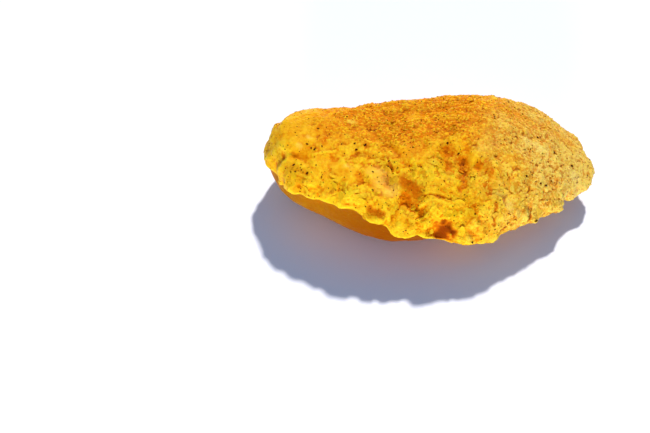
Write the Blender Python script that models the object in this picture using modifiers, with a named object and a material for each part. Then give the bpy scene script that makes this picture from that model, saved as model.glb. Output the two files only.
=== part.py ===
"""A breaded and fried chicken tender, at its real size, as one solid.

The tender lies along X with its blunt end at -X and its tapered tip at +X. The front, at -Y,
has the deep rim of coating that overhangs the smoother side below it. The origin is on the
surface that the tender rests on, under the middle of its box.
"""

import math
import random

import bmesh
import bpy
from mathutils import Matrix, Vector, kdtree, noise

MM = 0.001

# Driving dimensions of the meat with its coating.
LENGTH = 100 * MM
WIDTH = 58 * MM
THICKNESS = 27 * MM

# The cage: one ring of points for each station along the tender.
POINTS_AROUND = 16
CAGE_SMOOTHING = 3
CROWN_FULLNESS = 0.80
SIDE_FULLNESS = 0.60
BACK_RIM = 0.39
BACK_TUCK = 0.14
FRONT_TUCK = (-0.13, 0.20)
FRONT_TUCK_ALONG = (-0.18, 0.12)
BLUNT_POLE = (-0.486, 0.045, 0.47)
TIP_POLE = (0.487, 0.036, 0.34)

# Each station: place along the length, front and back edges as shares of the width, then
# the heights of the front rim, the crown and the underside as shares of the thickness.
STATIONS = (
    (-0.474, -0.021, 0.241, 0.54, 0.87, 0.30),
    (-0.425, -0.173, 0.362, 0.58, 0.98, 0.11),
    (-0.339, -0.224, 0.377, 0.64, 0.93, 0.01),
    (-0.216, -0.349, 0.423, 0.63, 0.90, -0.03),
    (-0.054, -0.422, 0.498, 0.51, 0.94, -0.04),
    (0.107, -0.422, 0.522, 0.32, 0.98, -0.04),
    (0.231, -0.310, 0.504, 0.29, 0.92, -0.02),
    (0.335, -0.211, 0.457, 0.28, 0.78, 0.02),
    (0.411, -0.063, 0.335, 0.29, 0.63, 0.07),
    (0.464, -0.037, 0.316, 0.30, 0.46, 0.17),
)
FRONT_RIM = 3

# Relief in the coating. The shares say how much of the plates' height each region takes.
SURFACE_GRAIN = 1.0 * MM
FACES_KEPT = 9600
TOP_SHARE = 0.38
RIM_SHARE = 0.35
FRONT_SHARE = 0.50
PLATES_BELOW_RIM = 0.25
LOBES_BELOW_RIM = 0.40
SIDEWAYS_LIMIT = 0.75
FRONT_REACH = 0.5
LUMP_SIZE = 15 * MM
LUMP_HEIGHT = 1.2 * MM
LOBE_SIZE = 8 * MM
LOBE_REACH = (0.8 * MM, 2.2 * MM)
ROUGH_FRONT_FROM = -22 * MM
ROUGH_FRONT_TO = 2 * MM
GRAIN_SIZE = 2.6 * MM
GRAIN_HEIGHT = 0.45 * MM
REST_BAND = 2.5 * MM
REST_PRESS = 0.06 * MM

# The rim of the coating along the front, and the smoother side below it.
RIM_OVERHANG = (0.9 * MM, 1.5 * MM)
RIM_STEP = 1.5 * MM
RIM_WAVE = 2.2 * MM
RIM_WAVE_SIZE = 7 * MM
RIM_FACING = 1.6

# Plates of flaked coating that overlap on the surface.
PLATE_SEED = 71
PLATE_SPACING = 3.4 * MM
PLATE_RADIUS = (2.2 * MM, 4.4 * MM)
PLATE_HEIGHT = (0.3 * MM, 1.3 * MM)
PLATE_TILT = 0.35
PLATE_FALL = 1.6
PLATE_REACH = 6.5 * MM

# Creases and pits: start and end in plan, then the half width and the depth.
CREASES = (
    ((-9.0 * MM, -17.5 * MM), (-5.5 * MM, -20.0 * MM), 2.5 * MM, 3.6 * MM),
    ((-15.0 * MM, -11.0 * MM), (-12.0 * MM, -16.0 * MM), 1.4 * MM, 1.2 * MM),
    ((3.5 * MM, -3.0 * MM), (4.5 * MM, -9.0 * MM), 1.8 * MM, 1.8 * MM),
    ((8.8 * MM, -3.0 * MM), (7.1 * MM, -14.4 * MM), 1.8 * MM, 1.8 * MM),
    ((12.6 * MM, -8.5 * MM), (15.0 * MM, -14.0 * MM), 1.8 * MM, 1.8 * MM),
    ((-1.0 * MM, -24.0 * MM), (2.0 * MM, -31.0 * MM), 2.4 * MM, 3.0 * MM),
    ((10.0 * MM, -24.0 * MM), (10.5 * MM, -31.0 * MM), 1.6 * MM, 2.0 * MM),
    ((-46.0 * MM, -1.5 * MM), (-38.0 * MM, -3.5 * MM), 1.8 * MM, 1.4 * MM),
    ((-12.0 * MM, 14.0 * MM), (4.0 * MM, 17.0 * MM), 2.4 * MM, 1.0 * MM),
)

CRUST_COLOUR = (0.86, 0.50, 0.10, 1.0)
CRUST_ROUGHNESS = 0.55
CREASE_ANGLE = math.radians(50)


def clear_scene():
    for obj in list(bpy.data.objects):
        bpy.data.objects.remove(obj, do_unlink=True)


def new_collection(name):
    collection = bpy.data.collections.new(name)
    bpy.context.scene.collection.children.link(collection)
    return collection


def crust_material():
    material = bpy.data.materials.new("fried_coating")
    material.use_nodes = True
    shader = material.node_tree.nodes["Principled BSDF"]
    shader.inputs["Base Color"].default_value = CRUST_COLOUR
    shader.inputs["Roughness"].default_value = CRUST_ROUGHNESS
    shader.inputs["Metallic"].default_value = 0.0
    return material


def share_between(value, start, end):
    return max(0.0, min(1.0, (value - start) / (end - start)))


def section_point(station, angle):
    """A point of the tender's cross-section: angle 0 is the back edge, 90 degrees the crown."""
    along, front, back, front_rim, crown, under = station
    across = math.cos(angle)
    rise = math.sin(angle)
    middle = (front + back) / 2
    half = (back - front) / 2
    rim = BACK_RIM + (front_rim - BACK_RIM) * (0.5 - 0.5 * across)
    rim = max(rim, under)
    if rise >= 0:
        height = rim + (crown - rim) * rise**CROWN_FULLNESS
    else:
        drop = (-rise) ** SIDE_FULLNESS
        height = rim - (rim - under) * drop
        tuck = BACK_TUCK
        if across < 0:
            share = share_between(along, *FRONT_TUCK_ALONG)
            tuck = FRONT_TUCK[0] + (FRONT_TUCK[1] - FRONT_TUCK[0]) * share
        across *= 1 - tuck * drop
    return Vector((along * LENGTH, (middle + half * across) * WIDTH, height * THICKNESS))


def pole_point(pole):
    return Vector((pole[0] * LENGTH, pole[1] * WIDTH, pole[2] * THICKNESS))


def tender_cage():
    """A ball with its poles at the tender's ends, each of its rings set to one station."""
    rings = len(STATIONS) + 1
    bm = bmesh.new()
    bmesh.ops.create_uvsphere(bm, u_segments=POINTS_AROUND, v_segments=rings, radius=1)
    for vert in bm.verts:
        ring = round(math.acos(max(-1, min(1, vert.co.z))) * rings / math.pi)
        if ring == 0:
            vert.co = pole_point(BLUNT_POLE)
        elif ring == rings:
            vert.co = pole_point(TIP_POLE)
        else:
            angle = math.atan2(vert.co.y, vert.co.x)
            vert.co = section_point(STATIONS[ring - 1], angle)
    bmesh.ops.recalc_face_normals(bm, faces=bm.faces)
    mesh = bpy.data.meshes.new("chicken_tender")
    bm.to_mesh(mesh)
    bm.free()
    return mesh


def bake_modifiers(obj):
    """Gives the object the mesh that its modifiers make."""
    bpy.context.view_layer.update()
    graph = bpy.context.evaluated_depsgraph_get()
    mesh = bpy.data.meshes.new_from_object(obj.evaluated_get(graph))
    obj.modifiers.clear()
    obj.data = mesh


def smooth_body(collection):
    obj = bpy.data.objects.new("chicken_tender", tender_cage())
    collection.objects.link(obj)
    soften = obj.modifiers.new("soften", "SUBSURF")
    soften.levels = CAGE_SMOOTHING
    soften.render_levels = CAGE_SMOOTHING
    grain = obj.modifiers.new("grain", "REMESH")
    grain.mode = "VOXEL"
    grain.voxel_size = SURFACE_GRAIN
    bake_modifiers(obj)
    return obj


def rim_share(normal):
    """1 where the coating faces sideways, at the rim, and 0 on the crown and underside."""
    return max(0.0, 1 - abs(normal.z) / SIDEWAYS_LIMIT)


def distance_to_stretch(point, start, end):
    """The distance in plan from a point to the straight stretch between two places."""
    run = Vector(end) - Vector(start)
    reach = Vector((point.x, point.y)) - Vector(start)
    share = max(0.0, min(1.0, reach.dot(run) / run.length_squared))
    return (reach - run * share).length


def crease_depth(point, normal):
    if normal.z < 0:
        return 0.0
    depth = 0.0
    for start, end, half_width, full_depth in CREASES:
        away = distance_to_stretch(point, start, end) / half_width
        depth = max(depth, full_depth * math.exp(-away * away))
    return depth


def rim_height(point):
    """The height of the coating's uneven rim beside a point."""
    height = STATIONS[0][FRONT_RIM]
    for before, after in zip(STATIONS, STATIONS[1:]):
        share = share_between(point.x / LENGTH, before[0], after[0])
        height += (after[FRONT_RIM] - before[FRONT_RIM]) * share
    wave = noise.noise(Vector((point.x, point.y, 0)) / RIM_WAVE_SIZE) * RIM_WAVE
    return height * THICKNESS + wave


def growing(sizes, along):
    """A size that grows from the smooth blunt end to the cragged middle and tip."""
    share = share_between(along, ROUGH_FRONT_FROM, ROUGH_FRONT_TO)
    return sizes[0] + (sizes[1] - sizes[0]) * share


def share_below_rim(point):
    return share_between(rim_height(point) - point.z, 0, RIM_STEP)


def rim_step(point, normal):
    """Out above the rim and in below it, along the front of the tender."""
    facing = max(0.0, min(1.0, -normal.y * RIM_FACING))
    return -share_below_rim(point) * growing(RIM_OVERHANG, point.x) * facing


class Plates:
    """Tilted plates at seeded places, which the surface takes the highest of."""

    def __init__(self, mesh):
        rng = random.Random(PLATE_SEED)
        order = list(range(len(mesh.polygons)))
        rng.shuffle(order)
        self.places = []
        cells = {}
        for index in order:
            place = mesh.polygons[index].center
            cell = tuple(math.floor(value / PLATE_SPACING) for value in place)
            if self.crowded(place, cell, cells):
                continue
            cells.setdefault(cell, []).append(place.copy())
            normal = mesh.polygons[index].normal
            swing = Vector([rng.uniform(-1, 1) for axis in range(3)])
            tilt = swing - normal * swing.dot(normal)
            radius = rng.uniform(*PLATE_RADIUS)
            height = rng.uniform(*PLATE_HEIGHT)
            self.places.append((place.copy(), tilt * PLATE_TILT, radius, height))
        self.tree = kdtree.KDTree(len(self.places))
        for number, plate in enumerate(self.places):
            self.tree.insert(plate[0], number)
        self.tree.balance()

    @staticmethod
    def crowded(place, cell, cells):
        for dx in (-1, 0, 1):
            for dy in (-1, 0, 1):
                for dz in (-1, 0, 1):
                    near = cells.get((cell[0] + dx, cell[1] + dy, cell[2] + dz), ())
                    if any((place - other).length < PLATE_SPACING for other in near):
                        return True
        return False

    def height(self, point):
        top = 0.0
        for found, number, away in self.tree.find_range(point, PLATE_REACH):
            place, tilt, radius, height = self.places[number]
            fall = max(0.0, away - radius) * PLATE_FALL
            top = max(top, height + tilt.dot(point - place) - fall)
        return top


def relief(point, normal, plates):
    """How far the coating stands out at a point of the smooth body, along its normal."""
    lumps = noise.noise(point / LUMP_SIZE) * LUMP_HEIGHT
    lobes = abs(noise.noise(Vector((point.x, point.y, 0)) / LOBE_SIZE))
    lobes *= growing(LOBE_REACH, point.x)
    grain = noise.noise(point / GRAIN_SIZE) * GRAIN_HEIGHT
    edge = rim_share(normal)
    front = share_between(-point.y, -FRONT_REACH * WIDTH / 2, FRONT_REACH * WIDTH / 2)
    below = share_below_rim(point)
    rough = TOP_SHARE + RIM_SHARE * edge + FRONT_SHARE * front
    rough *= 1 - (1 - PLATES_BELOW_RIM) * below
    coating = (plates.height(point) + grain) * rough
    coating += lobes * edge * (1 - (1 - LOBES_BELOW_RIM) * below)
    return lumps + coating + rim_step(point, normal) - crease_depth(point, normal)


def sculpt_relief(obj):
    """Moves each point of the body by the relief, less where it meets the resting surface."""
    plates = Plates(obj.data)
    bm = bmesh.new()
    bm.from_mesh(obj.data)
    bm.normal_update()
    moves = []
    for vert in bm.verts:
        contact = max(0.0, min(1.0, vert.co.z / REST_BAND))
        moves.append(vert.normal * relief(vert.co, vert.normal, plates) * contact)
    for vert, move in zip(bm.verts, moves):
        vert.co += move
    bm.to_mesh(obj.data)
    bm.free()


def thin_out(obj):
    """Keeps small faces only where the relief needs them."""
    faces = sum(len(face.vertices) - 2 for face in obj.data.polygons)
    fewer = obj.modifiers.new("fewer", "DECIMATE")
    fewer.decimate_type = "COLLAPSE"
    fewer.ratio = FACES_KEPT / faces
    bake_modifiers(obj)


def press_flat(obj):
    """Gives the underside the flat patch that the tender rests on."""
    for vert in obj.data.vertices:
        if vert.co.z < REST_PRESS:
            vert.co.z = 0.0


def fit_to_size(obj):
    """Centres the tender on the origin and brings it to its exact size."""
    points = obj.data.vertices
    low = [min(vert.co[axis] for vert in points) for axis in range(3)]
    high = [max(vert.co[axis] for vert in points) for axis in range(3)]
    middle = Vector(((low[0] + high[0]) / 2, (low[1] + high[1]) / 2, 0))
    sizes = (LENGTH, WIDTH, THICKNESS)
    scale = [size / (high[axis] - low[axis]) for axis, size in enumerate(sizes)]
    obj.data.transform(Matrix.Diagonal((*scale, 1)) @ Matrix.Translation(-middle))


def chicken_tender():
    collection = new_collection("food")
    obj = smooth_body(collection)
    sculpt_relief(obj)
    press_flat(obj)
    thin_out(obj)
    press_flat(obj)
    fit_to_size(obj)
    obj.data.materials.clear()
    obj.data.materials.append(crust_material())
    obj.data.shade_smooth()
    obj.data.set_sharp_from_angle(angle=CREASE_ANGLE)


def main():
    clear_scene()
    chicken_tender()


main()
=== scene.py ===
import math
import random

import bpy
import numpy as np
from mathutils import Euler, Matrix, Vector, kdtree, noise


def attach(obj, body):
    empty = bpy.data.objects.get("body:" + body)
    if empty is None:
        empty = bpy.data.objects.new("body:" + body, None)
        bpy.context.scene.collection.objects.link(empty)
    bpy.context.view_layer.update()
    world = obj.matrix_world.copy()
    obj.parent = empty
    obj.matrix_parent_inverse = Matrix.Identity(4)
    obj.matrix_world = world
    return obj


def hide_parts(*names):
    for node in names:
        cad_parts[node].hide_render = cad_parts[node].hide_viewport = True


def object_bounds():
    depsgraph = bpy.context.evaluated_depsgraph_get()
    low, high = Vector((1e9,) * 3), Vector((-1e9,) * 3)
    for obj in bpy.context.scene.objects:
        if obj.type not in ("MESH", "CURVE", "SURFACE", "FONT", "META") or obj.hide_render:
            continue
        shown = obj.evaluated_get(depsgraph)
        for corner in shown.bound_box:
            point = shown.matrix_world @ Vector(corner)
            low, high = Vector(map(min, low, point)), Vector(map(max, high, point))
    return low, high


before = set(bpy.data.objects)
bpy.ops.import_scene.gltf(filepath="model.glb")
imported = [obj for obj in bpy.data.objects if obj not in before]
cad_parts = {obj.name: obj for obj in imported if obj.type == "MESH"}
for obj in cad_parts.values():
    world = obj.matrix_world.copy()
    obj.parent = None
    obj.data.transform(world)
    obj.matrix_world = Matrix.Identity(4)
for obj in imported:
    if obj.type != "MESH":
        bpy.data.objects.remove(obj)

MM = 0.001
CAD_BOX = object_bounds()

# Camera: looks along +Y and down on the tender, which lies right of the picture's middle.
CAMERA_HEIGHT = math.radians(48)
CAMERA_DISTANCE = 0.35
CAMERA_LENS = 65
CAMERA_SENSOR = 36
CAMERA_NEAR = 0.01
AIM_HEIGHT = 12 * MM
TENDER_IN_PICTURE = (431, 169)
PICTURE = (650, 433)

# Lights and floor.
SUN_FROM = (0.25, 0.85, 1.0)
FILL_FROM = (-0.15, -1.28, 0.125)
FLOOR_SIZE = 3

# Coating mesh: the size of its faces, how near the points are that become one, and how far it
# may stand outside the solid's box.
COATING_GRAIN = 0.43 * MM
MERGE_DISTANCE = 0.01 * MM
BOX_SLACK = 0.6 * MM

# Rounds of smoothing: those that even out the mesh, and those that give the even surfaces from
# which its fine and its broad relief are measured. A point keeps a share of its own place.
SMOOTHING = 8
FINE_ROUNDS = 8
BROAD_ROUNDS = 90
SMOOTHING_KEPT = 0.4

# The rim of the coating along the front: place along the tender and height, in metres.
RIM = (
    (-0.0466, 0.0145),
    (-0.0418, 0.0155),
    (-0.0333, 0.0171),
    (-0.0212, 0.0169),
    (-0.0053, 0.0137),
    (0.0105, 0.0086),
    (0.0227, 0.0078),
    (0.0456, 0.0080),
)
RIM_WAVE = 2.2 * MM
RIM_SHIFT = 2.5 * MM

# Noise is read this many lumps further off for each one of its seed, for levels and for moves.
LEVEL_STEPS = (13.7, 7.3, 3.1)
MOVE_STEPS = (5.1, 9.7, 2.3)

# The seed of the noise that moves points. Without one its start comes from the clock.
MOVE_SEED = 1

# Smooth noise: the size of its lumps in metres, and its seed.
RIM_NOISE = (7 * MM, 0)
WANDER_NOISE = (11 * MM, 1)
BLOTCH_NOISE = (5 * MM, 2)
END_NOISE = (8 * MM, 3)
FOLD_NOISE = (9 * MM, 4)
SMALL_FOLD_NOISE = (3.5 * MM, 5)
GRAIN_NOISE = (0.9 * MM, 6)
LIP_NOISE = (2.2 * MM, 8)
LUMP_NOISE = (3.0 * MM, 9)
SIDE_NOISE = (7 * MM, 14)
WORN_NOISE = (3.2 * MM, 15)

# Where each region fades in: its share rises from 0 to 1 between these values. Places are in
# millimetres, and facings are one part of the surface's normal.
FADES = {
    "below the rim": (-0.1, 0.8),
    "side facing": (-0.1, 0.2),
    "side along": (-26, 0),
    "upper side": (-0.5, -0.1),
    "tan end": (6, 34),
    "tan at the front": (6, 18),
    "orange top": (-13, 6),
    "blunt end": (26, 40),
    "underside": (0.2, 0.7),
    "low edge": (-7, -2),
    # Where the painted shade on the side grows, along the tender.
    "painted shade along the side": (-38, -15),
    "below the end's rim": (-1, 6),
    "end facing": (0.1, 0.7),
    "lip from below": (-0.4, 0.05),
    "lip from above": (-1.0, -0.35),
    "lip facing": (0.0, 0.35),
    "lip worn": (-0.4, 0.2),
    "lip along": (-4, 6),
    "smoother end": (20, 38),
    "flaked front": (0, 12),
    "flaked back": (14, 22),
    "broken front": (2, 12),
    "calm front": (2, 10),
    "folds": (-0.16, 0.0),
    "clear of the surface": (0.2, 2.5),
    "crumbs off the end": (20, 34),
    "crumbs off the bottom": (1, 3),
    "flakes at the front": (4, 14),
    "flakes off the end": (22, 34),
    "flakes off the bottom": (6, 9),
    "flakes facing up": (0.1, 0.4),
}

# How far noise moves the regions' edges, in millimetres, and how the regions lie.
WANDER_REACH = 9
TAN_BLOTCH = 5
TAN_SLANT = 0.06
TAN_EASED_AT_FRONT = 0.3
TOP_WANDER = 0.6
TOP_MIDDLE = -4
TOP_ARCH = 0.10
ORANGE_EASED_BY_TAN = 0.5
ORANGE_EASED_AT_END = 0.8
LOW_WANDER = 0.3
LOW_LEVEL = 0.5
SIDE_WANDER = 8
# Painted shade on the side below the rim: a level at the left end, and what it grows by towards
# the right.
SIDE_PAINTED_SHADE = (0.84, 0.16)
END_WANDER = 6
LIP_WANDER = 0.35
LIP_WORN = (0.25, 0.75)

# How strong a region is, and how much more or less where it is blotched.
TOP_LEVEL = (0.92, 0.7)
ORANGE_LEVEL = (0.85, 0.3)
TOASTED_LEVEL = (0.8, 0.4)
UNDER_LEVEL = (0.78, 0.22)
END_LEVEL = (0.65, 0.3)

# Streaks and patches on the upper side: kind, from, to and half width, in millimetres.
STREAKS = (
    # Burnt streaks lie in creases and pits; their dark colour is partly browning and partly
    # painted shade.
    ("burnt_and_shade", (-9.4, -15.2), (-5.6, -19.0), 2.7),
    ("burnt_and_shade", (-13.7, -10.6), (-12.6, -12.0), 1.2),
    ("burnt_and_shade", (-19.0, -23.0), (-15.6, -24.7), 1.3),
    ("burnt_and_shade", (16.8, -21.3), (16.2, -24.0), 0.9),
    ("burnt_and_shade", (-4.5, -20.0), (4.5, -21.6), 0.5),
    # The notch below the rim is dented, and painted dark brown as painted shade.
    ("painted_shade_notch", (0.0, -26.8), (4.6, -27.5), 1.8),
    ("toasted", (4.2, -4.6), (7.6, -9.0), 2.6),
    ("toasted", (8.0, -10.0), (7.0, -14.4), 2.0),
    ("toasted", (14.6, -10.4), (15.2, -13.0), 1.8),
    # These hollows are dented, and painted darker as painted shade.
    ("hollow_with_painted_shade", (-43.0, -8.5), (-38.0, -12.0), 2.4),
    ("hollow_with_painted_shade", (-22.0, -6.0), (-14.0, -8.5), 1.6),
    ("orange", (-30.2, 4.0), (-31.9, -1.4), 2.4),
    ("orange", (-34.6, -3.3), (-33.4, -5.0), 1.2),
    ("orange", (-20.0, 4.5), (7.0, 2.0), 5.0),
    ("orange", (22.2, 16.2), (23.7, 9.6), 2.0),
    ("orange", (33.1, 17.3), (35.8, 13.7), 1.8),
    ("orange", (35.0, 1.2), (36.4, 0.0), 1.0),
    ("orange", (19.0, 16.5), (42.0, 7.5), 3.8),
    ("smooth", (-11.2, -5.3), (-3.4, -7.2), 3.2),
    ("smooth", (9.8, -8.6), (12.0, -10.6), 2.2),
    ("smooth", (-28.0, -9.6), (-24.0, -13.7), 3.4),
    ("smooth", (-43.0, 3.4), (-38.5, 1.0), 4.5),
    ("smooth", (-19.0, -12.0), (-14.2, -18.0), 3.0),
    ("pale", (-17.0, -12.7), (-13.4, -17.2), 4.0),
    ("pale", (-39.2, -3.0), (-38.8, -3.3), 1.1),
    ("pale", (-36.8, 0.0), (-36.0, -0.6), 0.9),
    ("pale", (-24.4, 7.9), (-23.5, 7.4), 1.3),
    ("pale", (-25.6, -10.3), (-24.6, -10.8), 1.2),
    ("pale", (17.2, -18.1), (20.8, -19.4), 2.2),
    ("pale", (26.8, 1.3), (32.7, -1.2), 1.8),
    ("pale", (42.0, -4.0), (45.0, -7.5), 2.6),
    ("lip", (-14.6, -8.3), (-13.2, -12.4), 0.5),
    ("lip", (-13.2, -12.8), (-8.6, -14.4), 0.5),
    ("lip", (-11.7, -21.9), (-13.8, -25.2), 0.6),
    ("lip", (-7.2, -25.7), (-2.2, -24.0), 0.5),
    ("lip", (-4.8, -21.4), (4.0, -23.1), 0.6),
    ("lip", (-34.8, -6.1), (-28.7, -4.9), 0.6),
    ("lip", (-41.5, -10.2), (-36.0, -13.2), 0.5),
)
STREAK_KINDS = ("burnt_and_shade", "painted_shade_notch", "toasted", "hollow_with_painted_shade", "orange", "smooth", "pale", "lip")
STREAK_CORE = 0.15

# What makes a streak's edge uneven: noise of a size in metres, its seed and its reach.
STREAK_WOBBLES = ((1.9 * MM, 7, 0.8), (0.8 * MM, 10, 0.35))

# How much of the relief a streak takes away, and how dark it is painted. That darkness is painted
# shade in the hollows and the notch, and partly painted shade in the burnt creases and pits.
STREAK_CALM = {"smooth": 0.8, "burnt_and_shade": 0.85, "hollow_with_painted_shade": 0.7, "painted_shade_notch": 0.9}
STREAK_DARK = {"burnt_and_shade": 1.0, "hollow_with_painted_shade": 0.35, "toasted": 0.45, "painted_shade_notch": 1.8}
LIP_CALM = 0.6
LIP_SMOOTH = 0.85
# How much the lips are raised into the crests' painted highlight: the rim lip's share, and the
# amount.
LIP_HIGHLIGHT = (0.6, 0.12)

# Relief, in metres where it is a height. Plates and slabs are overlapping flakes of coating.
PLATES = {
    "spacing": 1.7 * MM,
    "radius": (0.3 * MM, 1.5 * MM),
    "height": (0.0, 0.60 * MM),
    "tilt": 0.35,
    "fall": 1.5,
    "uneven": (1.1 * MM, 0.6 * MM),
    "seed": 11,
}
SLABS = {
    "spacing": 3.4 * MM,
    "radius": (0.9 * MM, 2.1 * MM),
    "height": (0.1 * MM, 0.9 * MM),
    "tilt": 0.2,
    "fall": 1.3,
    "uneven": (1.2 * MM, 1.2 * MM),
    "seed": 13,
}
GRAINS = {
    "spacing": 0.85 * MM,
    "radius": (0.05 * MM, 0.35 * MM),
    "height": (0.0, 0.42 * MM),
    "tilt": 0.5,
    "fall": 1.1,
    "uneven": (0.7 * MM, 0.3 * MM),
    "seed": 12,
}
PLATES_MIDDLE = 0.30 * MM
SLABS_MIDDLE = 0.50 * MM
GRAINS_MIDDLE = 0.12 * MM
FOLD_HEIGHT = 0.16 * MM
SMALL_FOLDS = 0.35
LUMP_HEIGHT = 0.19 * MM
NOISE_GRAIN_HEIGHT = 0.06 * MM
LIP_HEIGHT = 0.30 * MM
STREAK_DEPTH = {"burnt_and_shade": 0.45, "hollow_with_painted_shade": 0.5, "painted_shade_notch": 0.8}

# Shares of those heights: a level everywhere, then what a region adds or takes away.
PLATES_SHARE = (0.28, 0.08)
BACK_FLAKES = 0.8
PLATES_EASED = {"end": 0.6, "side": 0.92}
SLABS_SHARE = (0.27, 0.07)
GRAINS_SHARE = (0.45, 0.12, 0.25)
GRAINS_EASED = {"front": 0.35, "end": 0.7, "side": 0.9}
LUMPS_EASED_AT_SIDE = 0.4

# Scattered things: how many, and their half size in millimetres.
CRUMB_COUNT = 6000
CRUMB_SIZE = (0.17, 0.42)
FLAKE_COUNT = 260
FLAKE_SIZE = 0.5
FLAKE_GROWTH = (0.3, 0.8)
FLAKE_CORNERS = 10
FLAKE_DEPTH = 0.28
FLAKE_CUP = (0.10, 0.05)
LONE_PEPPER_COUNT = 150
LARGE_PEPPER_COUNT = 35
LARGE_PEPPER_SIZE = (0.34, 0.50)
PEPPER_SIZE = (0.15, 0.27)
SPICE_COUNT = 620
SPICE_SIZE = (0.12, 0.27)
SPECKS_EVERY = 3
SPECKS_FACING = 0.1
SPECKS_OFF_AMBER = 0.4
LOWEST_GRAIN = 0.02 * MM
STRETCH_ALONG = (0.8, 1.3)
STRETCH_ACROSS = (0.7, 1.1)

# How thickly crumbs and flakes lie: everywhere and on what regions, and what a region takes away.
CRUMBS_SHARE = (0.5, 1.0, 0.7)
CRUMBS_EASED = {"end": 0.85, "smooth": 0.95, "burnt_and_shade": 0.8}
CRUMBS_UPPER = (0.15, 0.85)
FLAKES_SHARE = 0.12
FLAKES_EASED_AT_END = 0.7

# Shades of crumbs and flakes: how much of the crust's own colour they keep, what share of them
# is toasted or pale by how much, and how pale the pale ones are off the tan end and on it.
ZONES_KEPT = 0.9
BURNT_AND_SHADE_KEPT = 0.5
PALE_KEPT = 0.6
TOASTED_GRAINS = (0.16, 0.55)
PALE_GRAINS = (0.30, 0.7)
PALE_BY_TAN = (0.1, 0.9)
# Painted highlight on each point of the crumbs, at random between these.
CRUMB_HIGHLIGHT = (0.0, 0.12)
# Painted highlight at the flakes' edges, and a little painted shade in their middles.
FLAKE_EDGE_HIGHLIGHT = 0.07
FLAKE_MIDDLE_SHADE = 0.01

# Loose clusters of pepper: middle in millimetres, how many and how widely spread.
PEPPER_PLACES = (
    (-38, -8, 5, 3.0),
    (-34, -4, 2, 1.5),
    (-23, -3, 3, 1.8),
    (-15, -10, 2, 2.0),
    (-21, -17, 3, 3.0),
    (-2, -13, 2, 2.0),
    (6, -7, 3, 4.0),
    (10, -20, 3, 5.0),
    (-28, 7, 2, 4.0),
    (34, 2, 3, 4.0),
    (29, -12, 3, 3.0),
    (40, -9, 3, 5.0),
)

# Colours.
GOLD = (0.86, 0.395, 0.006, 1)
YELLOW = (0.92, 0.485, 0.009, 1)
ORANGE = (0.76, 0.195, 0.0002, 1)
TAN = (0.75, 0.42, 0.052, 1)
PEACH = (0.80, 0.29, 0.022, 1)
# Amber of the underside and the low sides, darkened partly as painted shade.
AMBER_WITH_PAINTED_SHADE = (0.27, 0.058, 0.0001, 1)
# Brown of toasted specks and burnt streaks, also used as painted shade in the deepest creases.
BURNT_AND_SHADE_BROWN = (0.56, 0.120, 0.001, 1)
# Dark umber, used only as painted shade in pockets and in the notch.
PAINTED_SHADE_UMBER = (0.24, 0.035, 0.001, 1)
CREAM = (0.97, 0.61, 0.018, 1)
SAND = (0.96, 0.68, 0.13, 1)
PALE = (0.95, 0.59, 0.020, 1)
WHITISH = (0.97, 0.73, 0.19, 1)
PEPPER_COLOUR = (0.10, 0.016, 0.002, 1)
SPICE_COLOUR = (0.22, 0.030, 0.001, 1)
FLOOR_COLOUR = (0.945, 0.94, 1.0, 1)
SKY_COLOUR = (0.28, 0.55, 1.0, 1)

# Textures of the crust: scale, detail and roughness of noise, and scale of cells.
NOISES = {
    "patch": (85.0, 3.0, 0.6),
    "cloud": (170.0, 2.0, 0.5),
    "mottle": (280.0, 4.0, 0.6),
    "grit": (1300.0, 3.0, 0.7),
}
# The second kind of cell makes pale specks that are partly painted highlights.
CELLS = {"toast": 1250.0, "pale_specks_and_highlights": 2100.0}

# How shares in the crust's colour follow what they are read from: from, to, least and most.
RAMPS = {
    "yellow patches": (0.42, 0.62, 0.0, 0.8),
    "yellow end": (-0.010, -0.034, 0.0, 0.6),
    "broad raised parts": (0.1, 0.9, 0.0, 0.45),
    "clouds": (0.52, 0.64, 0.0, 0.6),
    "orange mottle": (0.50, 0.68, 0.0, 0.45),
    "peach mottle": (0.50, 0.66, 0.0, 0.8),
    "sandy tip": (0.030, 0.046, 0.0, 0.5),
    "sandy off orange": (0.2, 1.0, 0.9, 0.35),
    "toast": (0.60, 1.0, 0.0, 0.6),
    "pale_specks_and_highlights": (0.60, 1.0, 0.0, 0.75),
    # Painted shade in creases, hollows and pockets, and a painted highlight on crests, read from
    # the relief.
    "painted crease shade": (-0.05, -0.55, 0.0, 0.85),
    "deepest painted crease shade": (-0.4, -1.0, 0.0, 0.8),
    "painted shade in hollows": (0.0, -0.10, 0.0, 0.8),
    "painted shade in pockets": (-0.06, -0.15, 0.0, 0.75),
    "painted highlight on crests": (0.03, 0.13, 0.0, 0.60),
    "whiter patches": (0.0, 1.0, 0.45, 1.0),
    "pale off painted crease shade": (0.0, 0.8, 0.6, 0.5),
    "uneven pale": (0.40, 0.60, 0.35, 0.95),
    # Painted shade past the darkest burnt streaks, reached only in the notch.
    "darkest painted shade": (1.0, 1.8, 0.0, 0.85),
    "roughness": (0.3, 0.7, 0.38, 0.60),
    "calm": (0.0, 1.0, 1.0, 0.35),
}
EVERYWHERE_ROUGH = 0.3
AMBER_WITH_SHADE_COVER = 0.98
BURNT_AND_SHADE_COVER = 0.9
BRIGHT_OFF_ORANGE = 0.8

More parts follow.
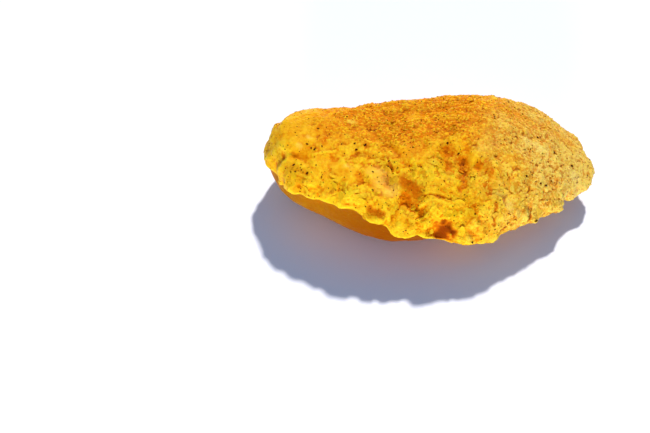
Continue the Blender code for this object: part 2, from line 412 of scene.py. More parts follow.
# Bump and glow of the crust and of loose crumbs, and the values that both surfaces share.
CRUST_BUMP = 0.7
CRUST_GLOW = 0.50
CRUMB_BUMP = 0.25
CRUMB_GLOW = 0.25
BUMP_DISTANCE = 0.3 * MM
FRIED_VALUES = {
    "Subsurface Radius": (1.0, 0.45, 0.06),
    "Subsurface Scale": 2.2 * MM,
    "Specular IOR Level": 0.05,
    "Specular Tint": (1.0, 0.72, 0.16, 1),
}
GROUND_VALUES = {"Roughness": 0.8, "Specular IOR Level": 0.02}
GROUND_SPOTS = 900.0
GROUND_DARKER = 0.45
FLOOR_VALUES = {"Base Color": FLOOR_COLOUR, "Roughness": 0.9, "Specular IOR Level": 0.1}


def share_between(value, start, end):
    """0 before start and 1 past end, rising smoothly between them."""
    share = np.clip((value - start) / (end - start), 0, 1)
    return share * share * (3 - 2 * share)


def fade(value, region):
    return share_between(value, *FADES[region])


def raised(level, share):
    """A level that is the same everywhere, with what a share adds to it."""
    return level[0] + level[1] * share


def most(*shares):
    return np.maximum.reduce(shares)


def deselect_all():
    bpy.ops.object.select_all(action="DESELECT")


def select_only(obj):
    deselect_all()
    obj.select_set(True)
    bpy.context.view_layer.objects.active = obj


def add_object(name, data):
    obj = bpy.data.objects.new(name, data)
    bpy.context.scene.collection.objects.link(obj)
    return obj


# Mesh in numbers


def points_of(mesh):
    flat = np.empty(len(mesh.vertices) * 3)
    mesh.vertices.foreach_get("co", flat)
    return flat.reshape(-1, 3)


def normals_of(mesh):
    flat = np.empty(len(mesh.vertices) * 3)
    mesh.vertex_normals.foreach_get("vector", flat)
    return flat.reshape(-1, 3)


def set_points(mesh, points):
    mesh.vertices.foreach_set("co", points.ravel())
    mesh.update()


def edges_of(mesh):
    flat = np.empty(len(mesh.edges) * 2, int)
    mesh.edges.foreach_get("vertices", flat)
    return flat.reshape(-1, 2)


def smoothed(points, edges, rounds):
    """The points after each has moved towards the mean of its neighbours, a number of times."""
    count = len(points)
    near = np.bincount(edges.ravel(), minlength=count).astype(float)
    result = points.copy()
    for _ in range(rounds):
        total = np.empty_like(result)
        for axis in range(3):
            a = np.bincount(edges[:, 0], result[edges[:, 1], axis], count)
            b = np.bincount(edges[:, 1], result[edges[:, 0], axis], count)
            total[:, axis] = (a + b) / near
        result = result * SMOOTHING_KEPT + total * (1 - SMOOTHING_KEPT)
    return result


def height_over_smoothed(points, normals, edges, rounds):
    """How far each point stands out, in millimetres, from the surface after some smoothing."""
    return np.einsum("ij,ij->i", points - smoothed(points, edges, rounds), normals) / MM


def noise_at(points, size, seed):
    """Smooth noise from -1 to 1 at each point, of a size in metres."""
    shift = Vector([seed * step for step in LEVEL_STEPS])
    return np.array([noise.noise(Vector(point) + shift) for point in points / size])


def shifted(points, size, reach, seed):
    """The points moved about by smooth noise, so that shapes found from them come out uneven."""
    shift = Vector([seed * step for step in MOVE_STEPS])
    moved = np.array([noise.noise_vector(Vector(point) + shift) for point in points / size])
    return points + moved * reach


def crowded(spot, cell, cells, spacing):
    """Whether one of the places kept so far lies nearer to the spot than the spacing."""
    x, y, z = spot
    kx, ky, kz = cell
    limit = spacing * spacing
    for dx in (-1, 0, 1):
        for dy in (-1, 0, 1):
            for dz in (-1, 0, 1):
                for ox, oy, oz in cells.get((kx + dx, ky + dy, kz + dz), ()):
                    if (x - ox) ** 2 + (y - oy) ** 2 + (z - oz) ** 2 < limit:
                        return True
    return False


def spread_places(points, spacing, seed):
    """Numbers of points of the mesh that are at least a spacing apart, in a seeded order."""
    rng = random.Random(seed)
    order = list(range(len(points)))
    rng.shuffle(order)
    cells = {}
    keys = np.floor(points / spacing).astype(int).tolist()
    spots = points.tolist()
    chosen = []
    for index in order:
        if not crowded(spots[index], keys[index], cells, spacing):
            cells.setdefault(tuple(keys[index]), []).append(spots[index])
            chosen.append(index)
    return chosen


def plate_heights(points, normals, spacing, radius, height, tilt, fall, uneven, seed):
    """The height at each point of overlapping tilted plates, the highest one at a time.
    uneven is the size and reach of the noise that breaks up the plates' outlines."""
    rng = random.Random(seed)
    chosen = spread_places(points, spacing, seed)
    plates = []
    tree = kdtree.KDTree(len(chosen))
    for number, index in enumerate(chosen):
        place = Vector(points[index])
        normal = Vector(normals[index])
        swing = Vector([rng.uniform(-1, 1) for axis in range(3)])
        slope = (swing - normal * swing.dot(normal)) * tilt
        plates.append((place, slope, rng.uniform(*radius), rng.uniform(*height)))
        tree.insert(place, number)
    tree.balance()
    reach = radius[1] + height[1] / fall
    heights = np.zeros(len(points))
    for index, point in enumerate(shifted(points, *uneven, seed)):
        spot = Vector(point)
        top = 0.0
        for found, number, away in tree.find_range(spot, reach):
            place, slope, wide, high = plates[number]
            level = high + slope.dot(spot - place) - max(0.0, away - wide) * fall
            if level > top:
                top = level
        heights[index] = top
    return heights


def set_numbers(mesh, name, values):
    layer = mesh.attributes.new(name, "FLOAT", "POINT")
    layer.data.foreach_set("value", values.astype(np.float32))


def set_shares(mesh, name, shares):
    """Keeps three shares for each point as one colour attribute."""
    layer = mesh.attributes.new(name, "FLOAT_COLOR", "POINT")
    full = np.concatenate([shares, np.ones((len(shares), 1))], axis=1)
    layer.data.foreach_set("color", full.astype(np.float32).ravel())


# Where things are on the tender


def rim_heights(points):
    """The height of the coating's uneven rim beside each point."""
    along = np.array([place for place, height in RIM])
    heights = np.array([height for place, height in RIM])
    flat = points.copy()
    flat[:, 1] += RIM_SHIFT
    flat[:, 2] = 0
    wave = noise_at(flat, *RIM_NOISE) * RIM_WAVE
    return np.interp(points[:, 0], along, heights) + wave


def side_below_rim(points, normals):
    """The share of the smooth side below the rim along the front."""
    below = fade((rim_heights(points) - points[:, 2]) / MM, "below the rim")
    facing = fade(-normals[:, 1], "side facing")
    along = points[:, 0] / MM + noise_at(points, *SIDE_NOISE) * SIDE_WANDER
    return below * facing * fade(-along, "side along")


def find_streaks(points, normals, side):
    """The share of each kind of streak at each point."""
    x, y, z = (points / MM).T
    wobble = sum(noise_at(points, size, seed) * reach for size, seed, reach in STREAK_WOBBLES)
    upper = fade(normals[:, 2], "upper side") * (1 - side)
    found = {kind: np.zeros(len(points)) for kind in STREAK_KINDS}
    for kind, (x1, y1), (x2, y2), width in STREAKS:
        dx, dy = x2 - x1, y2 - y1
        along = np.clip(((x - x1) * dx + (y - y1) * dy) / (dx * dx + dy * dy), 0, 1)
        away = np.hypot(x - x1 - along * dx, y - y1 - along * dy)
        away = away + wobble * min(1.0, width)
        share = share_between(-away, -width, -STREAK_CORE * width) * upper
        found[kind] = most(found[kind], share)
    return found


def find_zones(points, normals, side, streaks):
    """Shares of the pale tan end, the orange top and the amber underside, whose amber is darkened
    partly as painted shade.
    """
    x, y, z = (points / MM).T
    wander = noise_at(points, *WANDER_NOISE) * WANDER_REACH
    blotch = noise_at(points, *BLOTCH_NOISE)
    tan = fade(x + wander + blotch * TAN_BLOTCH - y * TAN_SLANT, "tan end")
    tan *= 1 - TAN_EASED_AT_FRONT * fade(-y, "tan at the front")
    top = fade(y + wander * TOP_WANDER - np.abs(x - TOP_MIDDLE) * TOP_ARCH, "orange top")
    orange = np.clip(top * raised(TOP_LEVEL, blotch), 0, 1) * (1 - ORANGE_EASED_BY_TAN * tan)
    orange *= 1 - ORANGE_EASED_AT_END * fade(-x, "blunt end")
    orange = most(orange, streaks["orange"] * raised(ORANGE_LEVEL, blotch))
    orange = most(orange, streaks["toasted"] * raised(TOASTED_LEVEL, blotch))
    orange = orange * (1 - streaks["pale"])
    under = fade(-normals[:, 2], "underside") * raised(UNDER_LEVEL, blotch)
    low = fade(-z - wander * LOW_WANDER, "low edge") * LOW_LEVEL
    # Painted shade: the side below the rim gets more amber towards the right.
    side_painted_shade = raised(SIDE_PAINTED_SHADE, fade(x, "painted shade along the side"))
    end = fade((rim_heights(points) - points[:, 2]) / MM, "below the end's rim")
    end *= fade(-normals[:, 0], "end facing") * raised(END_LEVEL, blotch)
    amber_with_shade = most(side * side_painted_shade, end, under, low)
    return np.clip(np.stack([tan, orange, amber_with_shade], axis=1), 0, 1)


def rim_lip(points, normals):
    """The share of the thin lip that runs along the rim at the front; the lip also gets a painted
    highlight.
    """
    level = (points[:, 2] - rim_heights(points)) / MM
    level = level + noise_at(points, *LIP_NOISE) * LIP_WANDER
    band = fade(level, "lip from below") * fade(-level, "lip from above")
    facing = fade(-normals[:, 1], "lip facing")
    worn = fade(noise_at(points, *WORN_NOISE), "lip worn")
    return band * facing * fade(-points[:, 0] / MM, "lip along") * raised(LIP_WORN, worn)


# The coating


def relief(points, normals, zones, side, streaks, lip):
    """How far each point of the coating stands out."""
    x, y, z = (points / MM).T
    tan, orange = zones[:, 0], zones[:, 1]
    end = fade(-x + noise_at(points, *END_NOISE) * END_WANDER, "smoother end")
    smooth = most(lip * LIP_CALM, *(streaks[kind] * calm for kind, calm in STREAK_CALM.items()))
    front = most(fade(-y, "flaked front"), fade(y, "flaked back") * BACK_FLAKES)
    off_end = 1 - PLATES_EASED["end"] * end
    plates = raised(PLATES_SHARE, front) * off_end
    plates = plates * (1 - PLATES_EASED["side"] * side) * (1 - smooth)
    slabs = fade(-y, "broken front") * off_end * (1 - side) * (1 - smooth)
    slabs = slabs * (SLABS_SHARE[0] - SLABS_SHARE[1] * tan)
    grains = GRAINS_SHARE[0] + GRAINS_SHARE[1] * tan + GRAINS_SHARE[2] * orange
    grains *= 1 - GRAINS_EASED["front"] * fade(-y, "calm front") * (1 - tan)
    grains = grains * (1 - GRAINS_EASED["end"] * end) * (1 - GRAINS_EASED["side"] * side)
    grains = grains * (1 - smooth)
    out = (plate_heights(points, normals, **PLATES) - PLATES_MIDDLE) * plates
    out += (plate_heights(points, normals, **GRAINS) - GRAINS_MIDDLE) * grains
    out += (plate_heights(points, normals, **SLABS) - SLABS_MIDDLE) * slabs
    folds = noise_at(points, *FOLD_NOISE) + SMALL_FOLDS * noise_at(points, *SMALL_FOLD_NOISE)
    out += fade(-np.abs(folds), "folds") * end * (1 - side) * FOLD_HEIGHT
    out += noise_at(points, *LUMP_NOISE) * LUMP_HEIGHT * (1 - LUMPS_EASED_AT_SIDE * side)
    out += noise_at(points, *GRAIN_NOISE) * NOISE_GRAIN_HEIGHT
    out += streaks["lip"] * LIP_HEIGHT + lip * LIP_HEIGHT
    out -= sum(streaks[kind] * depth for kind, depth in STREAK_DEPTH.items()) * MM
    return out * fade(z, "clear of the surface")


def find_marks(side, streaks, lip):
    """Shares of toasted coating together with the painted shade in creases, hollows and the notch,
    then of pale and of smooth coating.
    """
    burnt_and_shade = most(*(streaks[kind] * dark for kind, dark in STREAK_DARK.items()))
    smooth = most(streaks["smooth"], streaks["painted_shade_notch"], side, lip * LIP_SMOOTH)
    return np.stack([burnt_and_shade, streaks["pale"], smooth], axis=1)


def coating():
    """The solid's own form with its flakes, crumbs, folds and creases brought out in the mesh."""
    obj = add_object("coating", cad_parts["chicken_tender"].data.copy())
    select_only(obj)
    bpy.ops.object.mode_set(mode="EDIT")
    bpy.ops.mesh.select_all(action="SELECT")
    bpy.ops.mesh.remove_doubles(threshold=MERGE_DISTANCE)
    bpy.ops.object.mode_set(mode="OBJECT")
    grain = obj.modifiers.new("grain", "REMESH")
    grain.mode = "VOXEL"
    grain.voxel_size = COATING_GRAIN
    bpy.ops.object.modifier_apply(modifier="grain")
    mesh = obj.data
    edges = edges_of(mesh)
    points = smoothed(points_of(mesh), edges, SMOOTHING)
    set_points(mesh, points)
    normals = normals_of(mesh)
    side = side_below_rim(points, normals)
    streaks = find_streaks(points, normals, side)
    zones = find_zones(points, normals, side, streaks)
    lip = rim_lip(points, normals)
    out = relief(points, normals, zones, side, streaks, lip)
    points = points + normals * out[:, None]
    low, high = (np.array(corner) for corner in CAD_BOX)
    points = np.clip(points, low - BOX_SLACK, high + BOX_SLACK)
    points[:, 2] = np.maximum(points[:, 2], 0.0)
    set_points(mesh, points)
    normals = normals_of(mesh)
    fine = height_over_smoothed(points, normals, edges, FINE_ROUNDS)
    # Lips count as raised, so they get the crests' painted highlight.
    fine += most(streaks["lip"], lip * LIP_HIGHLIGHT[0]) * LIP_HIGHLIGHT[1]
    marks = find_marks(side, streaks, lip)
    set_numbers(mesh, "fine", fine)
    set_numbers(mesh, "broad", height_over_smoothed(points, normals, edges, BROAD_ROUNDS))
    set_shares(mesh, "zones", zones)
    set_shares(mesh, "marks", marks)
    mesh.materials.clear()
    mesh.materials.append(fried_material("fried_crust", CRUST_BUMP, CRUST_GLOW))
    mesh.shade_smooth()
    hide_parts("chicken_tender")
    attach(obj, "root")
    return points, normals, zones, marks


# Materials


def new_material(name):
    material = bpy.data.materials.new(name)
    material.use_nodes = True
    tree = material.node_tree
    tree.nodes.clear()
    output = tree.nodes.new("ShaderNodeOutputMaterial")
    shader = tree.nodes.new("ShaderNodeBsdfPrincipled")
    tree.links.new(shader.outputs["BSDF"], output.inputs["Surface"])
    return material, tree, shader


def set_values(shader, values):
    for name, value in values.items():
        shader.inputs[name].default_value = value


def put(tree, kind, **values):
    """A new node. A value named set_ and a setting sets it, and any other links or sets the input
    of that name, or of that number where the name is i and a number."""
    made = tree.nodes.new(kind)
    for name, value in values.items():
        if name.startswith("set_"):
            setattr(made, name[4:], value)
    for name, value in values.items():
        if name.startswith("set_"):
            continue
        numbered = name[0] == "i" and name[1:].isdigit()
        socket = made.inputs[int(name[1:]) if numbered else name]
        if isinstance(value, bpy.types.NodeSocket):
            tree.links.new(value, socket)
        else:
            socket.default_value = value
    return made


def ramp(tree, value, name):
    """The share that a value gives, as the ramp of that name says."""
    made = put(tree, "ShaderNodeMapRange", set_interpolation_type="SMOOTHSTEP", Value=value)
    for socket, stop in zip(("From Min", "From Max", "To Min", "To Max"), RAMPS[name]):
        made.inputs[socket].default_value = stop
    return made.outputs["Result"]


def maths(tree, operation, a, b):
    return put(tree, "ShaderNodeMath", set_operation=operation, i0=a, i1=b).outputs[0]


def product(tree, a, b):
    return maths(tree, "MULTIPLY", a, b)


def larger(tree, a, b):
    return maths(tree, "MAXIMUM", a, b)


def blend(tree, share, a, b):
    """Colour a turned towards colour b by a share."""
    return put(tree, "ShaderNodeMix", set_data_type="RGBA", i0=share, i6=a, i7=b).outputs[2]


def noise_texture(tree, place, name):
    scale, detail, roughness = NOISES[name]
    made = put(tree, "ShaderNodeTexNoise", Vector=place, Scale=scale, Detail=detail)
    made.inputs["Roughness"].default_value = roughness
    return made.outputs["Fac"]


def cell_texture(tree, place, name):
    """The distance to the middle of each cell, and two numbers that each cell has at random."""
    cells = put(tree, "ShaderNodeTexVoronoi", Vector=place, Scale=CELLS[name])
    parts = put(tree, "ShaderNodeSeparateColor", Color=cells.outputs["Color"])
    return cells.outputs["Distance"], parts.outputs[0], parts.outputs[1]


def new_group(name, inputs, outputs):
    group = bpy.data.node_groups.new(name, "ShaderNodeTree")
    for label, kind in inputs:
        group.interface.new_socket(label, in_out="INPUT", socket_type=kind)
    for label, kind in outputs:
        group.interface.new_socket(label, in_out="OUTPUT", socket_type=kind)
    start = group.nodes.new("NodeGroupInput")
    end = group.nodes.new("NodeGroupOutput")
    return group, start, end


def coating_look():
    """Colour, roughness and fine height of fried coating, from its zones and its relief."""
    colour = "NodeSocketColor"
    number = "NodeSocketFloat"
    group, start, end = new_group(
        "fried coating",
        [("Zones", colour), ("Marks", colour), ("Fine", number), ("Broad", number)],
        [("Color", colour), ("Roughness", number), ("Height", number)],
    )
    fine, broad = start.outputs["Fine"], start.outputs["Broad"]
    place = group.nodes.new("ShaderNodeTexCoord").outputs["Object"]
    along = put(group, "ShaderNodeSeparateXYZ", Vector=place).outputs["X"]
    zones = put(group, "ShaderNodeSeparateColor", Color=start.outputs["Zones"])
    tan, orange, amber_with_shade = zones.outputs[0], zones.outputs[1], zones.outputs[2]
    marks = put(group, "ShaderNodeSeparateColor", Color=start.outputs["Marks"])
    burnt_and_shade, pale, smooth = marks.outputs[0], marks.outputs[1], marks.outputs[2]
    patch = noise_texture(group, place, "patch")
    mottle = noise_texture(group, place, "mottle")
    clouds = ramp(group, noise_texture(group, place, "cloud"), "clouds")
    away, toasted_cell, _ = cell_texture(group, place, "toast")
    _, _, pale_and_highlight_cell = cell_texture(group, place, "pale_specks_and_highlights")

    # Golden and yellow, paler on the broad raised parts, orange on the top, sandy at the tapered
    # end
    yellow = larger(group, ramp(group, patch, "yellow patches"), ramp(group, along, "yellow end"))
    base = blend(group, yellow, GOLD, YELLOW)
    base = blend(group, larger(group, ramp(group, broad, "broad raised parts"), clouds), base, PALE)
    deep = ramp(group, mottle, "orange mottle")
    base = blend(group, maths(group, "ADD", orange, deep), base, ORANGE)
    sandy = blend(group, ramp(group, mottle, "peach mottle"), TAN, PEACH)
    sandy = blend(group, larger(group, clouds, ramp(group, along, "sandy tip")), sandy, SAND)
    sandy_part = product(group, tan, ramp(group, orange, "sandy off orange"))
    base = blend(group, sandy_part, base, sandy)
    # The amber underside, partly painted shade.
    base = blend(group, product(group, amber_with_shade, AMBER_WITH_SHADE_COVER), base, AMBER_WITH_PAINTED_SHADE)

    # Toasted specks, and pale specks that are partly painted highlights, most of them where the
    # coating is rough
    plain = maths(group, "SUBTRACT", 1.0, amber_with_shade)
    rough_part = maths(group, "ADD", larger(group, tan, orange), EVERYWHERE_ROUGH)
    rough_part = product(group, rough_part, plain)
    toast = product(group, ramp(group, toasted_cell, "toast"), rough_part)
    base = blend(group, toast, base, BURNT_AND_SHADE_BROWN)
    pale_specks_and_highlights = product(group, ramp(group, pale_and_highlight_cell, "pale_specks_and_highlights"), rough_part)
    pale_and_highlight_colour = blend(group, tan, CREAM, SAND)
    pale_and_highlight_colour = blend(group, product(group, orange, BRIGHT_OFF_ORANGE), pale_and_highlight_colour, YELLOW)
    base = blend(group, pale_specks_and_highlights, base, pale_and_highlight_colour)

    # Painted shade: deeper orange, brown and dark umber in the creases, hollows and pockets, and a
    # painted highlight on the crests
    crease_shade = ramp(group, broad, "painted crease shade")
    base = blend(group, product(group, crease_shade, plain), base, ORANGE)
    base = blend(group, ramp(group, broad, "deepest painted crease shade"), base, BURNT_AND_SHADE_BROWN)
    hollow_shade_colour = blend(group, tan, ORANGE, PEACH)
    base = blend(group, product(group, ramp(group, fine, "painted shade in hollows"), plain), base, hollow_shade_colour)
    base = blend(group, product(group, ramp(group, fine, "painted shade in pockets"), rough_part), base, PAINTED_SHADE_UMBER)
    base = blend(group, product(group, ramp(group, fine, "painted highlight on crests"), plain), base, pale_and_highlight_colour)

    # Pale patches, and burnt streaks with their painted shade, which goes on to dark brown in the
    # notch
    patched = blend(group, ramp(group, tan, "whiter patches"), PALE, WHITISH)
    pale_part = product(group, pale, ramp(group, crease_shade, "pale off painted crease shade"))
    pale_part = product(group, pale_part, ramp(group, mottle, "uneven pale"))
    base = blend(group, pale_part, base, patched)
    base = blend(group, product(group, burnt_and_shade, BURNT_AND_SHADE_COVER), base, BURNT_AND_SHADE_BROWN)
    base = blend(group, ramp(group, burnt_and_shade, "darkest painted shade"), base, PAINTED_SHADE_UMBER)
    group.links.new(base, end.inputs["Color"])
    group.links.new(ramp(group, mottle, "roughness"), end.inputs["Roughness"])
    height = maths(group, "SUBTRACT", noise_texture(group, place, "grit"), away)
    height = product(group, height, ramp(group, smooth, "calm"))
    group.links.new(height, end.inputs["Height"])
    return group


LOOK = coating_look()


def fried_material(name, bump_strength, glow):
    """Fried coating: a warm, slightly see-through crust with a dull oily shine."""
    material, tree, shader = new_material(name)
    look = put(tree, "ShaderNodeGroup", set_node_tree=LOOK)
    for label, part in (("Zones", "Color"), ("Marks", "Color"), ("Fine", "Fac"), ("Broad", "Fac")):
        read = put(tree, "ShaderNodeAttribute", set_attribute_name=label.lower())
        tree.links.new(read.outputs[part], look.inputs[label])
    bump = put(tree, "ShaderNodeBump", Height=look.outputs["Height"])
    set_values(bump, {"Strength": bump_strength, "Distance": BUMP_DISTANCE})
    tree.links.new(look.outputs["Color"], shader.inputs["Base Color"])
    tree.links.new(look.outputs["Roughness"], shader.inputs["Roughness"])
    tree.links.new(bump.outputs["Normal"], shader.inputs["Normal"])
    set_values(shader, {"Subsurface Weight": glow})
    set_values(shader, FRIED_VALUES)
    return material


def ground_material(name, colour):
    """Ground pepper or spice, in its colour and a darker one."""
    material, tree, shader = new_material(name)
    place = put(tree, "ShaderNodeTexCoord").outputs["Object"]
    spots = put(tree, "ShaderNodeTexNoise", Vector=place, Scale=GROUND_SPOTS, Detail=2.0)
    darker = tuple(part * GROUND_DARKER for part in colour[:3]) + (1,)
    mixed = blend(tree, spots.outputs["Fac"], colour, darker)
    tree.links.new(mixed, shader.inputs["Base Color"])
    set_values(shader, GROUND_VALUES)
    return material


# Scattered things


def as_numbers(obj):
    """The points and triangles of an object, which is then removed."""
    corners = points_of(obj.data)
    faces = np.array([tuple(face.vertices) for face in obj.data.polygons])
    bpy.data.objects.remove(obj, do_unlink=True)
    return corners, faces


def grain_shapes(count, seed):
    """A few lumpy grains, each modelled from a ball, as points and triangles."""
    shapes = []
    for number in range(count):
        deselect_all()
        bpy.ops.mesh.primitive_ico_sphere_add(subdivisions=1, radius=1)
        bpy.ops.object.mode_set(mode="EDIT")
        bpy.ops.mesh.select_all(action="SELECT")
        bpy.ops.transform.vertex_random(offset=0.28, seed=seed + number)
        bpy.ops.transform.resize(value=(1.0, 0.8, 0.6))
        bpy.ops.object.mode_set(mode="OBJECT")
        shapes.append(as_numbers(bpy.context.active_object))
    return shapes


def flake_shapes(count, seed):
    """Thin cupped flakes with an uneven outline, as points and triangles."""
    shapes = []
    for number in range(count):
        deselect_all()
        bpy.ops.mesh.primitive_cylinder_add(
            vertices=FLAKE_CORNERS, radius=1, depth=FLAKE_DEPTH, end_fill_type="TRIFAN"
        )
        bpy.ops.object.mode_set(mode="EDIT")
        bpy.ops.mesh.select_all(action="SELECT")
        bpy.ops.transform.vertex_random(offset=0.26, seed=seed + number)
        bpy.ops.mesh.quads_convert_to_tris()
        bpy.ops.object.mode_set(mode="OBJECT")
        corners, faces = as_numbers(bpy.context.active_object)
        corners[:, 2] += (corners[:, :2] ** 2) @ FLAKE_CUP
        shapes.append((corners, faces))
    return shapes


def scatter(name, places, shapes, material, seed, sink, lean, flat):
    """One joined mesh of grains. places holds a point, a normal and a size for each.
    sink is how deep each sits in sizes, lean how far it tips over, flat its height's share.
    Gives the mesh, and for each of its points the grain's number and the place across it."""
    rng = random.Random(seed)
    all_points = []
    all_faces = []
    owners = []
    outer = []
    start = 0
    for number, (point, normal, size) in enumerate(places):
        corners, faces = rng.choice(shapes)
        upright = Vector(normal).to_track_quat("Z", "Y").to_matrix()
        tip = (rng.uniform(-lean, lean), rng.uniform(-lean, lean), rng.uniform(0, math.tau))
        turn = np.array(upright @ Euler(tip).to_matrix())
        stretch = np.array([rng.uniform(*STRETCH_ALONG), rng.uniform(*STRETCH_ACROSS), flat])
        placed = (corners * stretch * size) @ turn.T
        placed = placed + np.array(point) - np.array(normal) * size * sink
        all_points.append(placed)
        all_faces.append(faces + start)
        owners.extend([number] * len(corners))
        outer.extend(np.hypot(corners[:, 0], corners[:, 1]))
        start += len(corners)
    points = np.concatenate(all_points)
    faces = np.concatenate(all_faces)
    points[:, 2] = np.maximum(points[:, 2], LOWEST_GRAIN)
    mesh = bpy.data.meshes.new(name)
    mesh.from_pydata(points.tolist(), [], faces.tolist())
    mesh.materials.append(material)
    obj = add_object(name, mesh)
    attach(obj, "root")
    return mesh, np.array(owners), np.array(outer)


def pick(weights, count, seed):
    """Numbers of points, drawn with the given weights."""
    draw = np.random.default_rng(seed)
    return draw.choice(len(weights), count, replace=False, p=weights / weights.sum())


def dress(mesh, owners, chosen, zones, marks, fine, seed):
    """Gives each scattered grain the zone it lies in and a shade of its own.
    fine is how far each of the mesh's points counts as raised, above nought, or sunk, below it;
    the first gets a painted highlight as on the crust's crests, the second painted shade as in its
    hollows."""
    draw = np.random.default_rng(seed)
    count = len(chosen)
    shades = marks[chosen].copy()
    toasted = (draw.random(count) < TOASTED_GRAINS[0]) * TOASTED_GRAINS[1]
    pale = (draw.random(count) < PALE_GRAINS[0]) * PALE_GRAINS[1]
    pale = pale * raised(PALE_BY_TAN, zones[chosen, 0])
    shades[:, 0] = np.clip(shades[:, 0] * BURNT_AND_SHADE_KEPT + toasted, 0, 1)
    shades[:, 1] = np.clip(shades[:, 1] * PALE_KEPT + pale, 0, 1)
    set_shares(mesh, "zones", (zones[chosen] * ZONES_KEPT)[owners])
    set_shares(mesh, "marks", shades[owners])
    set_numbers(mesh, "fine", fine)
    set_numbers(mesh, "broad", np.zeros(len(owners)))


def crumbs(points, normals, zones, marks, material):
    """Crumbs of coating that stand clear of the crust, each point with a random painted highlight,
    fewer where the crust is smooth, burnt or painted with shade.
    """
    end = fade(-points[:, 0] / MM, "crumbs off the end")
    burnt_and_shade = np.minimum(marks[:, 0], 1)
    everywhere, on_tan, on_orange = CRUMBS_SHARE
    weights = everywhere + on_tan * zones[:, 0] + on_orange * zones[:, 1]
    weights *= (1 - CRUMBS_EASED["end"] * end) * (1 - CRUMBS_EASED["smooth"] * marks[:, 2])
    weights *= 1 - CRUMBS_EASED["burnt_and_shade"] * burnt_and_shade
    weights *= raised(CRUMBS_UPPER, fade(normals[:, 2], "upper side"))
    weights *= fade(points[:, 2] / MM, "crumbs off the bottom")
    chosen = pick(weights, CRUMB_COUNT, seed=51)
    rng = random.Random(52)
    places = [(points[k], normals[k], rng.uniform(*CRUMB_SIZE) * MM) for k in chosen]
    shapes = grain_shapes(6, seed=61)
    mesh, owners, outer = scatter(
        "crumbs", places, shapes, material, seed=53, sink=0.25, lean=0.6, flat=0.6
    )
    highlights = np.random.default_rng(55).uniform(*CRUMB_HIGHLIGHT, len(chosen))
    dress(mesh, owners, chosen, zones, marks, highlights[owners], seed=54)


def flakes(points, normals, zones, marks, material):
    """Thin flakes of coating with a painted highlight at their edges and a little painted shade in
    their middles, most and largest along the front.
    """
    front = fade(-points[:, 1] / MM, "flakes at the front")
    end = fade(-points[:, 0] / MM, "flakes off the end")
    burnt_and_shade = np.minimum(marks[:, 0], 1)
    weights = (FLAKES_SHARE + front) * (1 - FLAKES_EASED_AT_END * end)
    weights *= (1 - marks[:, 2]) * (1 - burnt_and_shade) * fade(points[:, 2] / MM, "flakes off the bottom")
    weights *= fade(normals[:, 2], "flakes facing up")
    chosen = pick(weights, FLAKE_COUNT, seed=71)
    rng = random.Random(72)
    growth = raised(FLAKE_GROWTH, front)
    sizes = [(FLAKE_SIZE + growth[k] * rng.random() ** 2) * MM for k in chosen]
    places = [(points[k], normals[k], size) for k, size in zip(chosen, sizes)]
    shapes = flake_shapes(6, seed=81)
    mesh, owners, outer = scatter(
        "flakes", places, shapes, material, seed=73, sink=0.12, lean=0.28, flat=0.7
    )
    fine = outer ** 3 * FLAKE_EDGE_HIGHLIGHT - FLAKE_MIDDLE_SHADE
    dress(mesh, owners, chosen, zones, marks, fine, seed=74)


def pepper(points, normals, zones):
    """Specks of ground pepper, in loose clusters and alone, and finer specks of brown spice."""
    rng = random.Random(21)
    up = []
    for k in range(0, len(points), SPECKS_EVERY):
        if normals[k][2] > SPECKS_FACING and zones[k][2] < SPECKS_OFF_AMBER:
            up.append(k)
    tree = kdtree.KDTree(len(up))
    for k in up:
        tree.insert(Vector((points[k][0], points[k][1], 0)), k)
    tree.balance()
    chosen = []
    for x, y, count, spread in PEPPER_PLACES:
        for _ in range(count):
            spot = Vector((rng.gauss(x, spread) * MM, rng.gauss(y, spread) * MM, 0))
            chosen.append(tree.find(spot)[1])
    chosen.extend(rng.sample(up, LONE_PEPPER_COUNT))
    places = []
    for number, k in enumerate(chosen):
        sizes = LARGE_PEPPER_SIZE if number < LARGE_PEPPER_COUNT else PEPPER_SIZE
        places.append((points[k], normals[k], rng.uniform(*sizes) * MM))
    shapes = grain_shapes(4, seed=31)
    dark = ground_material("ground_pepper", PEPPER_COLOUR)
    scatter("pepper", places, shapes, dark, seed=22, sink=-0.25, lean=0.6, flat=0.7)
    spots = rng.sample(up, SPICE_COUNT)
    places = [(points[k], normals[k], rng.uniform(*SPICE_SIZE) * MM) for k in spots]
    brown = ground_material("ground_spice", SPICE_COLOUR)
    scatter("spice", places, shapes, brown, seed=23, sink=-0.1, lean=0.6, flat=0.7)


# Studio


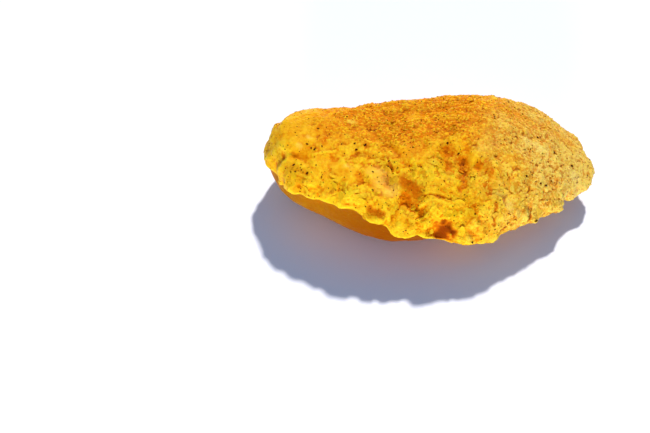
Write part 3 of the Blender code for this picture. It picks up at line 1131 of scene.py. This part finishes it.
def lights():
    sun = bpy.data.lights.new("key", "SUN")
    sun.energy = 3.85
    sun.angle = math.radians(4)
    sun.color = (1.0, 0.97, 0.94)
    key = add_object("key", sun)
    key.rotation_euler = Vector(SUN_FROM).to_track_quat("Z", "Y").to_euler()
    soft = bpy.data.lights.new("fill", "AREA")
    soft.energy = 17.2
    soft.color = (0.97, 0.97, 0.96)
    soft.size = 0.25
    fill = add_object("fill", soft)
    fill.location = FILL_FROM
    fill.rotation_euler = Vector(FILL_FROM).to_track_quat("Z", "Y").to_euler()
    world = bpy.data.worlds.new("studio")
    world.use_nodes = True
    set_values(world.node_tree.nodes["Background"], {"Color": SKY_COLOUR, "Strength": 0.33})
    bpy.context.scene.world = world


def floor():
    deselect_all()
    bpy.ops.mesh.primitive_plane_add(size=FLOOR_SIZE)
    plane = bpy.context.active_object
    plane.name = "floor"
    material, tree, shader = new_material("pale_floor")
    set_values(shader, FLOOR_VALUES)
    plane.data.materials.append(material)


def camera():
    look = Vector((0, math.cos(CAMERA_HEIGHT), -math.sin(CAMERA_HEIGHT)))
    up = Vector((0, math.sin(CAMERA_HEIGHT), math.cos(CAMERA_HEIGHT)))
    right = Vector((1, 0, 0))
    lens = bpy.data.cameras.new("camera")
    lens.lens = CAMERA_LENS
    lens.sensor_width = CAMERA_SENSOR
    lens.clip_start = CAMERA_NEAR
    pixels = CAMERA_LENS / CAMERA_SENSOR * PICTURE[0]
    across = CAMERA_DISTANCE * (TENDER_IN_PICTURE[0] - PICTURE[0] / 2) / pixels
    above = CAMERA_DISTANCE * (PICTURE[1] / 2 - TENDER_IN_PICTURE[1]) / pixels
    eye = add_object("camera", lens)
    aim = Vector((0, 0, AIM_HEIGHT))
    eye.location = aim - look * CAMERA_DISTANCE - right * across - up * above
    eye.rotation_euler = (math.pi / 2 - CAMERA_HEIGHT, 0, 0)
    bpy.context.scene.camera = eye


def main():
    noise.seed_set(MOVE_SEED)
    camera()
    floor()
    lights()
    points, normals, zones, marks = coating()
    loose = fried_material("fried_crumb", CRUMB_BUMP, CRUMB_GLOW)
    crumbs(points, normals, zones, marks, loose)
    flakes(points, normals, zones, marks, loose)
    pepper(points, normals, zones)
    bpy.context.scene.view_settings.view_transform = "Standard"
    deselect_all()


main()
